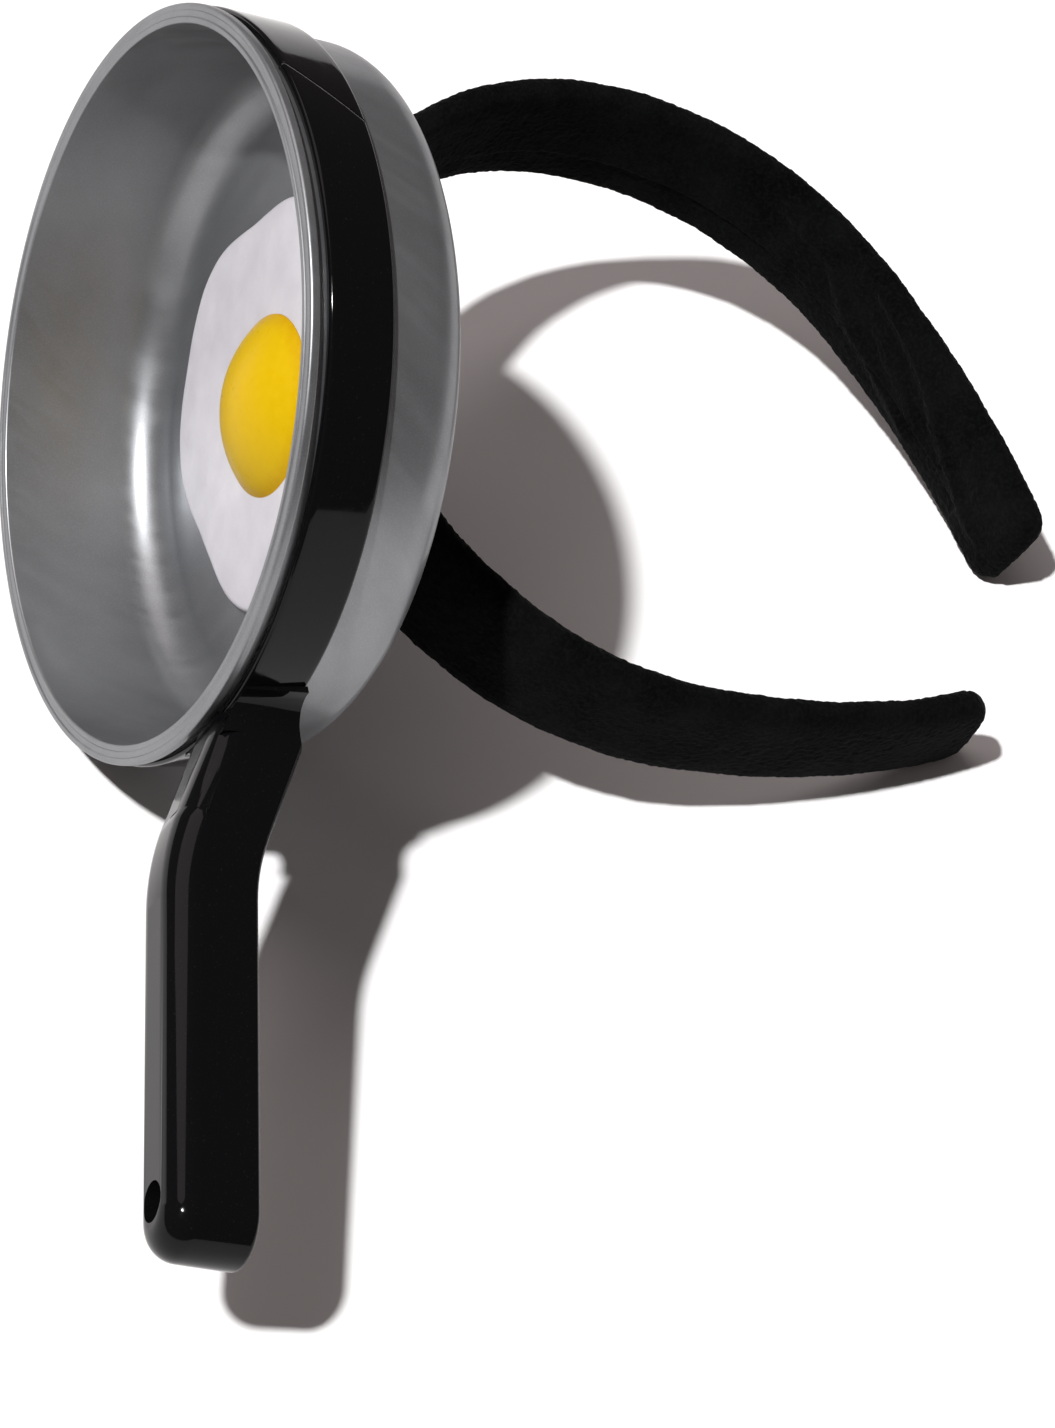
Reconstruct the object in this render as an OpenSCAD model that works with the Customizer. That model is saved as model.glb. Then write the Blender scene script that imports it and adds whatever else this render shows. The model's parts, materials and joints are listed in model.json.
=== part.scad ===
// Novelty fancy-dress headband: a padded velvet hoop with a toy frying pan glued
// on one side of it. The pan holds a fried egg. All sizes are in millimetres.
//
// The headband lies on its side on a flat surface. It rests on both tips of the
// hoop and on the back edge of the black ring. +Z is up, the hoop's crown points to
// -Y, the tips point to +Y, and the pan leans towards +X, where its handle points.
// The origin is under the centre of the whole part, on the surface it rests on.

/* [Hoop] */
// Inner radius of the hoop's round crown
hoop_inner_r = 61; // [56:0.5:68]
// Thickness of the padded band
band_t = 6; // [5.4:0.1:7]
// Width of the band over the crown
band_w = 24.5; // [22:0.5:32]
// Width of the band at its tips
tip_w = 20; // [16:0.5:22]
// Half angle of the round crown, measured from its top
crown_half = 117; // [105:1:122]
// Radius of the nearly straight tails below the crown
tail_r = 170; // [150:5:220]
// Angle that each tail covers
tail_angle = 19.6; // [14:0.2:22]
// Angle from the top of the crown where each arm starts to flex
flex_at = 55; // [52:1:62]

/* [Band layers] */
// Thickness of the velvet
velvet_t = 0.8; // [0.6:0.1:1]
// Thickness of the springy plastic core
core_t = 1.5; // [1.2:0.1:1.8]
// Thickness of the lining ribbon on the inner face
lining_t = 0.5; // [0.4:0.1:0.8]
// Width of the lining ribbon
lining_w = 12; // [8:1:13]

/* [Pan] */
// Radius of the pan's lip
pan_r = 63; // [58:0.5:68]
// Width of the flat lip
lip_w = 3.4; // [2.6:0.2:4.4]
// Full depth of the pan behind its lip
pan_depth = 30.5; // [27:0.5:34]
// Wall thickness of the bowl
wall_t = 2.2; // [1.8:0.1:2.6]
// Outer radius where the wall turns into the floor
corner_r = 7.8; // [6:0.1:12]
// How much smaller the wall's radius gets for each millimetre of depth
draft = 0.067; // [0.04:0.001:0.09]

/* [Ring and handle] */
// Distance from the lip to the ring's front edge
ring_front = 3.4; // [2.8:0.1:4]
// Distance from the lip to the ring's back edge
ring_back = 14.9; // [13:0.1:16]
// Thickness of the ring
ring_t = 1.5; // [1.2:0.1:2]
// Width of the handle
handle_w = 14.4; // [12:0.1:16]
// Depth of the handle
handle_d = 14.6; // [12:0.1:15]
// Distance from the pan's axis to the handle's bend
bend_x = 88.8; // [84:0.2:94]
// Slope of the handle's neck, in degrees
neck_slope = 27.5; // [24:0.5:30]
// Slope of the handle's grip, in degrees
grip_slope = 8.6; // [4:0.2:12]
// Length of the grip from the bend to its end
grip_len = 64.8; // [55:0.2:80]
// Diameter of the hanging hole
hole_d = 6.4; // [5:0.1:7]

/* [Egg] */
// Mean radius of the egg white
egg_r = 34.8; // [32:0.2:37]
// Thickness of the egg white
egg_t = 1.7; // [1.2:0.1:2.4]
// Radius of the yolk
yolk_r = 15.9; // [12:0.1:18]
// Height of the yolk
yolk_h = 6.7; // [5:0.1:8]

/* [How the pan sits on the hoop] */
// Lean of the pan's axis from the top of the crown
pan_lean = 33; // [25:1:40]
// How far the pan is slid along the band, towards its handle
pan_slide = 6.2; // [0:0.2:8]
// How far the pan is set to one edge of the band
pan_shift = 1.9; // [-2:0.1:2]
// Turn of the pan about its own axis
pan_turn = -2.4; // [-5:0.1:5]
// Thickness of glue between the band and the pan
glue_t = 1.3; // [1:0.1:2]

/* [Hidden] */
$fn = 96;
hoop_r = hoop_inner_r + band_t / 2;
hoop_out = hoop_inner_r + band_t;
tail_x = (hoop_r - tail_r) * sin(crown_half);
tail_z = (hoop_r - tail_r) * cos(crown_half);
tip_angle = crown_half + tail_angle;
tip_z = tail_z + (tail_r + band_t / 2) * cos(tip_angle);
tip_round = 5;
join = 0.01;
pocket_inset = 2;
pocket_end = 0.9;
taper_z = 30;

pan_reach = hoop_out + glue_t + pan_depth;
rim_round = 0.8;
lip_t = 1.8;
wall_r = pan_r - 1.25;
floor_z = -(pan_depth - wall_t);

ring_chamfer = 0.4;
fit_gap = 0.05;
bend_r = 40;
bend_angle = neck_slope - grip_slope;
bend_len = bend_r * tan(bend_angle / 2);
bend_z = -3.1 + (bend_x - 77) * tan(neck_slope);
edge_r = 4.8;
foot_r = 0.9;
hole_x = grip_len - 8.8;
flare_r = 5;

egg_x = -3.3;
egg_y = -6.7;
yolk_x = -2.6;
yolk_y = -6.2;
pad_t = 0.3;
egg_z = floor_z + pad_t;

velvet_c = [0.03, 0.03, 0.035];
core_c = [0.85, 0.85, 0.82];
foam_c = [0.2, 0.2, 0.2];
metal_c = [0.55, 0.56, 0.57];
black_c = [0.02, 0.02, 0.02];
glue_c = [0.9, 0.88, 0.8];

// The hoop's tilt is the one at which its tips and the pan's lowest edge are equally low.
function up_on_axis(t) = sin(t) * cos(pan_lean);
function centre_up(t) = cos(t) * pan_shift + sin(t) * (pan_reach * cos(pan_lean) - pan_slide * sin(pan_lean));
function ring_drop(t, r, d) = r * sqrt(1 - pow(up_on_axis(t), 2)) + d * up_on_axis(t);
function ring_r(d) = wall_r + ring_t + fit_gap - draft * d;
base_up = pan_depth - corner_r;
base_r = wall_r - draft * base_up - corner_r * sqrt(1 + draft * draft);
function edge_low(t) = max(ring_drop(t, ring_r(ring_back - ring_chamfer), ring_back - ring_chamfer),
                           ring_drop(t, ring_r(ring_back) - ring_chamfer, ring_back),
                           ring_drop(t, base_r, base_up) + corner_r);
function pan_low(t) = centre_up(t) - edge_low(t);
function tip_low(t) = -cos(t) * (tip_w / 2 - tip_round) + sin(t) * (tip_z + tip_round) - tip_round;
function too_flat(t) = pan_low(t) < tip_low(t);
function settle(a, b, n) = n == 0 ? (a + b) / 2 :
    too_flat((a + b) / 2) ? settle((a + b) / 2, b, n - 1) : settle(a, (a + b) / 2, n - 1);
lay_tilt = settle(5, 40, 30);

// The middle of the part's outline on the surface it rests on
handle_dir = pan_lean - grip_slope;
end_x = pan_reach * sin(pan_lean) + pan_slide * cos(pan_lean) + bend_x * cos(pan_lean) * cos(pan_turn)
    + bend_z * sin(pan_lean) + edge_r
    + (grip_len - edge_r) * cos(handle_dir) + (handle_d / 2 - edge_r) * sin(handle_dir);
mid_x = (end_x - hoop_out) / 2;
rim_y = -cos(lay_tilt) * (pan_reach * cos(pan_lean) - pan_slide * sin(pan_lean)) + sin(lay_tilt) * pan_shift
    - (pan_r - rim_round) * sqrt(1 - pow(cos(lay_tilt) * cos(pan_lean), 2))
    - rim_round * (1 - cos(lay_tilt) * cos(pan_lean));
tip_y = -cos(lay_tilt) * (tip_z + tip_round) + sin(lay_tilt) * (tip_w / 2 - tip_round) + tip_round;
mid_y = (rim_y + tip_y) / 2;

// ---- Where things go ----

module lie_down() {
    translate([-mid_x, -mid_y, -tip_low(lay_tilt)])
        rotate([90 - lay_tilt, 0, 0])
            children();
}

module on_pan() {
    lie_down()
        rotate([0, pan_lean, 0])
            translate([pan_slide, pan_shift, pan_reach])
                rotate([0, 0, pan_turn])
                    children();
}

// ---- Hoop ----

// Wedge between two angles, measured from the top of the crown towards +X
module wedge(a, b, r) {
    m = (a + b) / 2;
    polygon([[0, 0], [r * sin(a), r * cos(a)], [2 * r * sin(m), 2 * r * cos(m)], [r * sin(b), r * cos(b)]]);
}

module slice(r, t, a, b) {
    intersection() {
        difference() {
            circle(r + t, $fn = 128);
            circle(r, $fn = 128);
        }
        wedge(a, b, 3 * r);
    }
}

// Side view of a tail. It runs a little way into the round crown, to join it.
module tail_side(lo, hi, from, to) {
    translate([tail_x, tail_z])
        slice(tail_r - band_t / 2 + lo + join, hi - lo - 2 * join, from, to);
}

// Side view of one arm, from the flex line to near its tip
module arm_side(lo, hi, cut) {
    slice(hoop_inner_r + lo, hi - lo, flex_at, crown_half);
    tail_side(lo, hi, crown_half - 0.3, tip_angle - cut);
}

module crown_side(lo, hi) {
    slice(hoop_inner_r + lo, hi - lo, -flex_at, 0.01);
    slice(hoop_inner_r + lo, hi - lo, 0, flex_at);
}

// What is cut off a square corner at the origin to leave it round
module corner_cut(r) {
    difference() {
        translate([-2, -2])
            square([r + 2, r + 2]);
        translate([r, r])
            circle(r);
    }
}

// Outline of the band seen from the side of the head: it narrows to rounded tips
module band_face(inset) {
    top = hoop_out + 1;
    a = band_w / 2 - inset;
    b = tip_w / 2 - inset;
    low = tip_z + inset;
    difference() {
        polygon([[-a, top], [a, top], [a, taper_z], [b, tip_z + tip_round], [b, low], [-b, low],
            [-b, tip_z + tip_round], [-a, taper_z]]);
        for (s = [0, 1])
            mirror([s, 0])
                translate([-b, low])
                    corner_cut(max(tip_round - inset, 1));
    }
}

// Gives a side view its width. Side views are drawn in X and Z.
module widen(inset) {
    intersection() {
        rotate([90, 0, 0])
            translate([0, 0, -band_w])
                linear_extrude(2 * band_w)
                    children();
        rotate([90, 0, 90])
            translate([0, 0, -2 * hoop_out])
                linear_extrude(4 * hoop_out)
                    band_face(inset);
    }
}

module left_side() {
    lie_down()
        mirror([1, 0, 0])
            children();
}

module strip_crown(lo, hi, inset) {
    lie_down()
        widen(inset)
            crown_side(lo, hi);
}

module strip_arm(lo, hi, inset, cut) {
    widen(inset)
        arm_side(lo, hi, cut);
}

module core_crown() {
    color(core_c)
        strip_crown(velvet_t, velvet_t + core_t, pocket_inset);
}

module core_arm() {
    color(core_c)
        strip_arm(velvet_t, velvet_t + core_t, pocket_inset, pocket_end);
}

module core_left() {
    left_side()
        core_arm();
}

module core_right() {
    lie_down()
        core_arm();
}

module foam_crown() {
    color(foam_c)
        strip_crown(velvet_t + core_t, band_t - velvet_t, pocket_inset);
}

module foam_arm() {
    color(foam_c)
        strip_arm(velvet_t + core_t, band_t - velvet_t, pocket_inset, pocket_end);
}

module foam_left() {
    left_side()
        foam_arm();
}

module foam_right() {
    lie_down()
        foam_arm();
}

module velvet_crown() {
    color(velvet_c)
        difference() {
            strip_crown(0, band_t, 0);
            strip_crown(velvet_t, band_t - velvet_t, pocket_inset);
        }
}

module velvet_arm() {
    color(velvet_c)
        difference() {
            strip_arm(0, band_t, 0, 0);
            strip_arm(velvet_t, band_t - velvet_t, pocket_inset, pocket_end);
        }
}

module velvet_left() {
    left_side()
        velvet_arm();
}

module velvet_right() {
    lie_down()
        velvet_arm();
}

module lining_crown() {
    color(velvet_c)
        strip_crown(-lining_t, 0, (band_w - lining_w) / 2);
}

module lining_arm() {
    color(velvet_c)
        intersection() {
            strip_arm(-lining_t, 0, 1, 5);
            translate([0, -lining_w / 2, -2 * hoop_out])
                cube([3 * hoop_out, lining_w, 4 * hoop_out]);
        }
}

module lining_left() {
    left_side()
        lining_arm();
}

module lining_right() {
    lie_down()
        lining_arm();
}

// The velvet's end, folded over the tip onto the inner face
module tuck_arm() {
    color(velvet_c)
        widen(2.5)
            tail_side(-lining_t, 0, tip_angle - 4.9, tip_angle - 0.9);
}

module tuck_left() {
    left_side()
        tuck_arm();
}

module tuck_right() {
    lie_down()
        tuck_arm();
}

// ---- Pan ----

// Half profile of a bowl: a conical wall, a round corner and a flat floor
module bowl_profile(top_r, depth, r) {
    k = sqrt(1 + draft * draft);
    zc = depth - r;
    rc = top_r - draft * zc - r * k;
    out = r + 3;
    difference() {
        polygon([[0, 0], [top_r, 0], [top_r - draft * depth, -depth], [0, -depth]]);
        difference() {
            polygon([[rc, -zc], [rc + out / k, -zc - draft * out / k],
                [rc + out, -zc - out], [rc, -zc - out]]);
            translate([rc, -zc])
                circle(r);
        }
    }
}

// Half profile of the lip, with its outer edge rounded
module lip_profile() {
    difference() {
        translate([0, -lip_t])
            square([pan_r, lip_t]);
        translate([pan_r, 0])
            rotate(180)
                corner_cut(rim_round);
    }
}

module pan_bowl() {
    color(metal_c)
        on_pan()
            difference() {
                union() {
                    rotate_extrude()
                        bowl_profile(wall_r, pan_depth, corner_r);
                    rotate_extrude()
                        lip_profile();
                }
                rotate_extrude()
                    bowl_profile(pan_r - lip_w, pan_depth - wall_t, corner_r - wall_t);
                translate([0, 0, -0.5])
                    cylinder(h = 1, r1 = pan_r - lip_w, r2 = pan_r - lip_w + 0.5);
            }
}

// ---- Ring and handle ----

module bar_section(w, d) {
    difference() {
        square([w, d], center = true);
        for (s = [0, 1])
            mirror([s, 0]) {
                translate([w / 2, d / 2])
                    rotate(180)
                        corner_cut(edge_r);
                translate([-w / 2, -d / 2])
                    corner_cut(foot_r);
            }
    }
}

module channel_section(less) {
    w = handle_w - 4 - less;
    top = handle_d / 2 - 2.2 - less;
    difference() {
        translate([-w / 2, -handle_d])
            square([w, handle_d + top]);
        for (s = [0, 1])
            mirror([s, 0])
                translate([w / 2, top])
                    rotate(180)
                        corner_cut(edge_r - 2.2);
    }
}

module bar(a, b) {
    rotate([90, 0, 90])
        translate([0, 0, a])
            linear_extrude(b - a)
                children();
}

module bend() {
    translate([bend_len, 0, -bend_r])
        rotate([90, 0, 0])
            rotate([0, 0, 90])
                rotate_extrude(angle = bend_angle)
                    translate([bend_r, 0])
                        rotate(-90)
                            children();
}

module neck(from) {
    translate([bend_x, 0, bend_z])
        rotate([0, -neck_slope, 0])
            bar(from, 1 - bend_len)
                children();
}

module grip(to) {
    translate([bend_x, 0, bend_z])
        rotate([0, -grip_slope, 0]) {
            bend()
                children();
            bar(bend_len, to)
                children();
        }
}

module grip_end() {
    translate([bend_x, 0, bend_z])
        rotate([0, -grip_slope, 0])
            translate([grip_len - handle_w / 2, 0, 0])
                rotate_extrude()
                    intersection() {
                        bar_section(handle_w, handle_d);
                        translate([0, -handle_d])
                            square([handle_w, 2 * handle_d]);
                    }
}

// Fillets that widen the neck where it leaves the ring
module flare() {
    x = wall_r + ring_t - draft * ring_back;
    y = handle_w / 2 + flare_r;
    intersection() {
        translate([0, 0, -ring_back])
            linear_extrude(ring_back)
                difference() {
                    translate([x - 4, -y])
                        square([4 + flare_r, 2 * y]);
                    for (s = [-1, 1])
                        translate([x + flare_r, s * y])
                            circle(flare_r);
                }
        translate([bend_x, 0, bend_z])
            rotate([0, -neck_slope, 0])
                translate([-40, -y, -handle_d / 2 + 1])
                    cube([32, 2 * y, handle_d - 2.2]);
    }
}

module ring_profile() {
    a = ring_front;
    b = ring_back;
    c = ring_chamfer;
    g = wall_r + fit_gap;
    polygon([[g - draft * a, -a], [g - draft * b, -b], [ring_r(b) - c, -b], [ring_r(b - c), -b + c],
        [ring_r(a + c), -a - c], [ring_r(a) - c, -a]]);
}

// Slanted joint line where the ring closes
module ring_joint() {
    rotate([0, 0, 108.3])
        translate([ring_r(9) - 0.3, 0, -(ring_front + ring_back) / 2])
            rotate([-47, 0, 0])
                translate([0, -0.2, -12])
                    cube([3, 0.4, 24]);
}

module pan_ring() {
    color(black_c)
        on_pan()
            difference() {
                rotate_extrude()
                    ring_profile();
                ring_joint();
            }
}

// All the space inside the ring's outer face, which the handle's root is cut back to
module inside_ring() {
    rotate_extrude()
        polygon([[0, 2], [ring_r(0), 2], [ring_r(0), 0], [ring_r(20), -20], [0, -20]]);
}

module hanging_hole() {
    translate([bend_x, 0, bend_z])
        rotate([0, -grip_slope, 0])
            translate([hole_x, 0, -handle_d])
                cylinder(h = 2 * handle_d, d = hole_d);
}

module handle() {
    color(black_c)
        on_pan()
            difference() {
                union() {
                    neck(-34)
                        bar_section(handle_w - 0.04, handle_d - 0.04);
                    grip(grip_len - handle_w / 2)
                        bar_section(handle_w, handle_d);
                    grip_end();
                    flare();
                }
                neck(-20)
                    channel_section(0.04);
                grip(hole_x - 7)
                    channel_section(0);
                inside_ring();
                translate([0, 0, -ring_back - 20])
                    cylinder(h = 20, r = 80);
                hanging_hole();
            }
}

// ---- Egg ----

function wave(a) = egg_r * (1 + 0.030 * cos(6 * a + 246) + 0.028 * cos(3 * a + 20) + 0.022 * cos(2 * a - 30));

module egg_white() {
    color([0.93, 0.92, 0.94])
        on_pan()
            translate([egg_x, egg_y, egg_z])
                linear_extrude(egg_t)
                    polygon([for (a = [0 : 4 : 356]) [wave(a) * cos(a), wave(a) * sin(a)]]);
}

module egg_yolk() {
    r = (yolk_r * yolk_r + yolk_h * yolk_h) / (2 * yolk_h);
    color([0.98, 0.78, 0.05])
        on_pan()
            translate([yolk_x, yolk_y, egg_z + egg_t])
                rotate_extrude()
                    intersection() {
                        translate([0, yolk_h - r])
                            circle(r);
                        square([yolk_r + 1, yolk_h + 1]);
                    }
}

module egg_glue() {
    color(glue_c)
        on_pan()
            translate([egg_x, egg_y, floor_z])
                cylinder(h = pad_t, r = 18);
}

// ---- Glue between the band and the pan ----

module pan_glue() {
    color(glue_c)
        lie_down()
            rotate([0, pan_lean, 0])
                difference() {
                    intersection() {
                        translate([0, 0, hoop_out - 6])
                            cylinder(h = 6 + glue_t, r = 12);
                        translate([-20, -band_w / 2 + 1.5, 0])
                            cube([40, band_w - 3, 2 * hoop_out]);
                    }
                    rotate([90, 0, 0])
                        cylinder(h = 2 * band_w, r = hoop_out, center = true, $fn = 128);
                }
}

pan_bowl();
pan_ring();
handle();
egg_white();
egg_yolk();
egg_glue();
pan_glue();
core_crown();
core_left();
core_right();
foam_crown();
foam_left();
foam_right();
velvet_crown();
velvet_left();
velvet_right();
lining_crown();
lining_left();
lining_right();
tuck_left();
tuck_right();
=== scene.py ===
# A novelty headband: a velvet hoop with a toy frying pan and a fried egg on its side.
import json
import math

import bmesh
import bpy
import numpy as np
from mathutils import Matrix, Vector, noise


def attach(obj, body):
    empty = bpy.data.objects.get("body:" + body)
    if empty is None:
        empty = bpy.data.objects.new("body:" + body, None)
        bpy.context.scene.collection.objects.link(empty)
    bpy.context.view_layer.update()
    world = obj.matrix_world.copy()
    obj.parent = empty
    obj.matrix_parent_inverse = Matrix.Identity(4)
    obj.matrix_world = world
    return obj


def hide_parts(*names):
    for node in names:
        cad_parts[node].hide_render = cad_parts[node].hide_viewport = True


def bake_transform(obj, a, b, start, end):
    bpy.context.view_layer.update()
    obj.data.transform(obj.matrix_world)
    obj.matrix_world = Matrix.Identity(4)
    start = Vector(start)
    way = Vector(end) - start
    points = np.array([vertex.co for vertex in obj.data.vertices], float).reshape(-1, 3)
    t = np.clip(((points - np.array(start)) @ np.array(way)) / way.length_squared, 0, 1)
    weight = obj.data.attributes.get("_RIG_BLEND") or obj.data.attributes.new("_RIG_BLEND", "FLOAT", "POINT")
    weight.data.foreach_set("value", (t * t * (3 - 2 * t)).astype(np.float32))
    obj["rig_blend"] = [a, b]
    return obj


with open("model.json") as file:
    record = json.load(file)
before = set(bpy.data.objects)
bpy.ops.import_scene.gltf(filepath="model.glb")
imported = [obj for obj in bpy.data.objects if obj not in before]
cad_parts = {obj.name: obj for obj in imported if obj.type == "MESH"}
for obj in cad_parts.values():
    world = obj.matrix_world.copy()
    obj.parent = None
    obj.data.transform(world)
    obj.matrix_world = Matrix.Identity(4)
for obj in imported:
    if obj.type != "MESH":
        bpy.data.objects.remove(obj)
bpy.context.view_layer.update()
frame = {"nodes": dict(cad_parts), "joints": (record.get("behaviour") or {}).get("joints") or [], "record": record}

# ---- Sizes, in metres and radians ----

MM = 0.001

# The band: a crown of one radius, then two straighter tails that narrow to the tips.
band_t = 6 * MM
band_w = 24.5 * MM
tip_w = 20 * MM
tip_round = 5 * MM
tail_r = 170 * MM
crown_half = math.radians(117)
tail_angle = math.radians(19.6)
taper_z = 30 * MM
lining_w = 12 * MM
lining_t = 0.5 * MM
flex_half = 10 * MM

# The pan, its ring, and the ring's closing joint.
pan_r = 63 * MM
lip_w = 3.4 * MM
lip_t = 1.8 * MM
inner_bead = 0.95 * MM
outer_bead = 1.05 * MM
lip_groove = 0.25 * MM
pan_depth = 30.5 * MM
wall_t = 2.2 * MM
wall_r = pan_r - 1.25 * MM
corner_r = 7.8 * MM
inner_corner_r = 7.6 * MM
draft = 0.067
ring_front = 3.4 * MM
ring_back = 14.9 * MM
ring_t = 1.5 * MM
fit_gap = 0.05 * MM
joint_at = math.radians(108.3)
joint_slant = math.radians(47)
joint_groove = 0.35 * MM
joint_half = 0.22 * MM
handle_bevel = 0.35 * MM

# The egg: the white's outline and place, then the yolk's, both in the pan's frame.
egg_r = 34.8 * MM
egg_t = 1.7 * MM
egg_lift = 0.3 * MM
egg_at = (-3.3 * MM, -6.7 * MM)
yolk_r = 15.9 * MM
yolk_h = 6.7 * MM
yolk_at = (-2.6 * MM, -6.2 * MM)

# How the pan sits on the band: its lean round the hoop, then its slide, shift and turn there.
pan_lean = math.radians(33)
pan_slide = 6.2 * MM
pan_shift = 1.9 * MM
pan_turn = math.radians(-2.4)
glue_t = 1.3 * MM
glue_r = 11.2 * MM
glue_squeeze = 0.9 * MM

# The camera, in the hoop's frame, and the sunlight's direction in the room.
camera_at = (0.5013, 0.4993, 0.1061)
camera_aim = (0.0701, -0.0034, -0.0041)
camera_roll = math.radians(-57.7)
camera_lens = 100.8
key_travel = Vector((-0.372, 0.274, -0.887)).normalized()

# ---- Places, from the frame ----

joints = {j["name"]: j for j in frame["joints"]}
mounts = {m["name"]: m for m in frame["record"]["mounts"]}
hinge_left = Vector(joints["flex_left"]["pos_m"])
hinge_right = Vector(joints["flex_right"]["pos_m"])
crown_centre = Vector(mounts["head_gap"]["pos_m"])
across = (hinge_right - hinge_left).normalized()
crown_up = ((hinge_left + hinge_right) / 2 - crown_centre).normalized()
hoop_axis = crown_up.cross(across)
hoop_frame = Matrix((across, hoop_axis, crown_up)).transposed().to_4x4()
hoop_frame.translation = crown_centre

hoop_out = (hinge_left - crown_centre).length
hoop_r = hoop_out - band_t / 2
flex_at = (hinge_right - crown_centre).angle(crown_up)
pan_reach = hoop_out + glue_t + pan_depth
pan_frame = (
    hoop_frame
    @ Matrix.Rotation(pan_lean, 4, "Y")
    @ Matrix.Translation((pan_slide, pan_shift, pan_reach))
    @ Matrix.Rotation(pan_turn, 4, "Z")
)
floor_z = -(pan_depth - wall_t)


# ---- Camera, lights and floor ----

def add_object(name, data):
    obj = bpy.data.objects.new(name, data)
    bpy.context.scene.collection.objects.link(obj)
    return obj


def look(obj, place, aim, roll=0.0, within=Matrix.Identity(4)):
    """Puts a camera or a lamp at place, turned to aim and rolled about its own axis."""
    turn = (Vector(aim) - Vector(place)).to_track_quat("-Z", "Y").to_matrix()
    turned = (turn @ Matrix.Rotation(roll, 3, "Z")).to_4x4()
    turned.translation = place
    obj.matrix_world = within @ turned


def add_camera():
    data = bpy.data.cameras.new("camera")
    data.sensor_width = 36
    data.lens = camera_lens
    data.clip_start = 0.01
    data.clip_end = 20
    camera = add_object("camera", data)
    look(camera, camera_at, camera_aim, camera_roll, hoop_frame)
    bpy.context.scene.camera = camera


def add_panel(name, place, aim, size, power, colour=(1, 1, 1)):
    data = bpy.data.lights.new(name, "AREA")
    data.shape = "RECTANGLE"
    data.size, data.size_y = size
    data.energy = power
    data.color = colour
    look(add_object(name, data), place, aim)


def add_lights():
    sun = bpy.data.lights.new("key", "SUN")
    sun.energy = 4.0
    sun.angle = math.radians(2.7)
    look(add_object("key", sun), -key_travel, (0, 0, 0))
    add_panel("overhead", (-0.35, -0.75, 1.25), (0, 0, 0.05), (1.3, 1.0), 5, (1, 0.90, 0.89))
    world = bpy.data.worlds.new("studio")
    bpy.context.scene.world = world
    world.use_nodes = True
    sky = world.node_tree.nodes["Background"]
    sky.inputs["Color"].default_value = (1, 0.87, 0.86, 1)
    sky.inputs["Strength"].default_value = 0.11


def add_floor():
    mesh = bpy.data.meshes.new("floor")
    half = 6.0
    corners = [(-half, -half, 0), (half, -half, 0), (half, half, 0), (-half, half, 0)]
    mesh.from_pydata(corners, [], [(0, 1, 2, 3)])
    floor = add_object("floor", mesh)
    mat, _ = new_material("floor_paper", (0.88, 0.87, 0.87), 0.9)
    mesh.materials.append(mat)


# ---- Materials ----

def new_material(name, colour, roughness, **values):
    """A material and its shader. The other values name its sockets, with _ for a space."""
    mat = bpy.data.materials.new(name)
    mat.use_nodes = True
    shader = mat.node_tree.nodes["Principled BSDF"]
    shader.inputs["Base Color"].default_value = (*colour, 1)
    shader.inputs["Roughness"].default_value = roughness
    for key, value in values.items():
        shader.inputs[key.replace("_", " ")].default_value = value
    return mat, shader


def add_node(mat, kind, links=(), **values):
    """A node with its input values set, and the sockets that feed it linked."""
    node = mat.node_tree.nodes.new(kind)
    for key, value in values.items():
        if key in node.inputs:
            node.inputs[key].default_value = value
        else:
            setattr(node, key, value)
    for key, source in links:
        mat.node_tree.links.new(source, node.inputs[key])
    return node


def add_noise(mat, scale, detail=2.0, stretch=(1, 1, 1), roughness=0.5):
    """Noise over the piece's own space. A stretch below 1 draws the grain out along that axis."""
    where = add_node(mat, "ShaderNodeTexCoord").outputs["Object"]
    spread = add_node(mat, "ShaderNodeMapping", [("Vector", where)], Scale=stretch)
    grain = add_node(
        mat, "ShaderNodeTexNoise", [("Vector", spread.outputs["Vector"])],
        Scale=scale,
        Detail=detail,
        Roughness=roughness,
    )
    return grain.outputs["Fac"]


def add_range(mat, value, low, high, out_low, out_high):
    """The value with the range low to high mapped onto out_low to out_high."""
    node = add_node(mat, "ShaderNodeMapRange", [("Value", value)])
    node.inputs["From Min"].default_value = low
    node.inputs["From Max"].default_value = high
    node.inputs["To Min"].default_value = out_low
    node.inputs["To Max"].default_value = out_high
    return node.outputs["Result"]


def add_blend(mat, factor, colour_a, colour_b):
    """A mix of two colours. Each is a triple, or a socket that gives the colour."""
    node = mat.node_tree.nodes.new("ShaderNodeMix")
    node.data_type = "RGBA"
    mat.node_tree.links.new(factor, node.inputs["Factor"])
    for key, colour in (("A", colour_a), ("B", colour_b)):
        socket = [s for s in node.inputs if s.name == key and s.type == "RGBA"][0]
        if isinstance(colour, bpy.types.NodeSocket):
            mat.node_tree.links.new(colour, socket)
        else:
            socket.default_value = (*colour, 1)
    return [s for s in node.outputs if s.type == "RGBA"][0]


def add_bump(mat, height, depth, strength=1.0, under=None):
    """A bump of the given depth, on top of the bump under it if there is one."""
    node = add_node(mat, "ShaderNodeBump", [("Height", height)], Distance=depth, Strength=strength)
    if under is not None:
        mat.node_tree.links.new(under, node.inputs["Normal"])
    return node.outputs["Normal"]


def feed(mat, shader, **sources):
    """Links sources to the shader's sockets, which are named with _ for a space."""
    for key, source in sources.items():
        mat.node_tree.links.new(source, shader.inputs[key.replace("_", " ")])


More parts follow.
